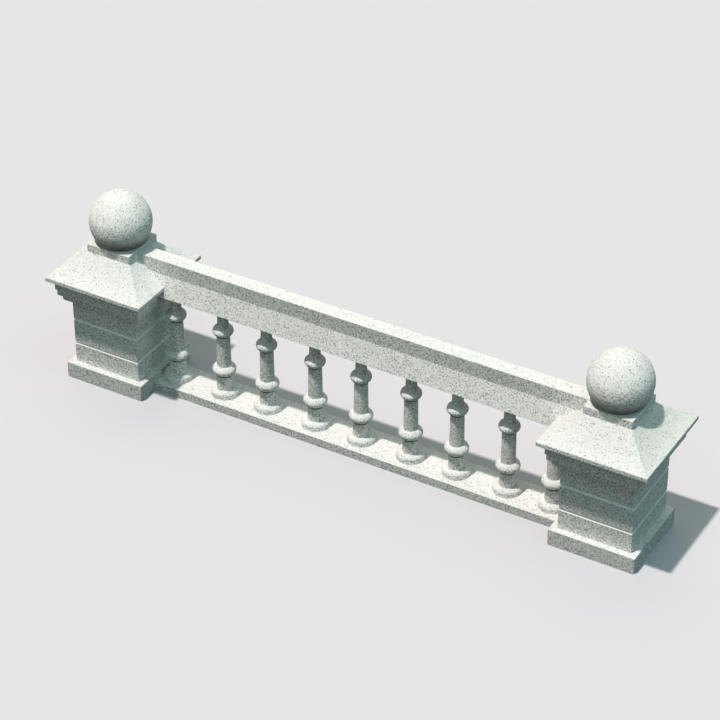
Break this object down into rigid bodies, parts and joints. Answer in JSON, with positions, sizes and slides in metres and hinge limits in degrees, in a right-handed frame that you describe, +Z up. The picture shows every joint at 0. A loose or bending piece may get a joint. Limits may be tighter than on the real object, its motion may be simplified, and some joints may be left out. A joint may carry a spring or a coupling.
{
  "type": "stone balustrade",
  "caption": "Granite balustrade bay between square piers with hollow-sloped caps and ball finials; turned, ringed balusters stand on a kerb under a splayed handrail.",
  "frame": {"origin": "centre of the footprint at ground level, midway between the piers", "axes": "+X along the rail towards the right-hand pier, +Y towards the back, +Z up"},
  "size_m": [4.332, 0.738, 1.3715],
  "materials": {
    "granite": "white granite, finely speckled with dark grey, sawn and rubbed, unpolished"
  },
  "bodies": {
    "root": {"bottom_rail": "granite", "handrail": "granite", "left_plinth": "granite", "left_lower_die": "granite", "left_middle_die": "granite", "left_upper_die": "granite", "left_neck_course": "granite", "left_bed_course": "granite", "left_cap": "granite", "left_block": "granite", "left_ball": "granite", "right_plinth": "granite", "right_lower_die": "granite", "right_middle_die": "granite", "right_upper_die": "granite", "right_neck_course": "granite", "right_bed_course": "granite", "right_cap": "granite", "right_block": "granite", "right_ball": "granite", "baluster_1": "granite", "baluster_2": "granite", "baluster_3": "granite", "baluster_4": "granite", "baluster_5": "granite", "baluster_6": "granite", "baluster_7": "granite", "baluster_8": "granite", "baluster_9": "granite"}
  },
  "joints": []
}
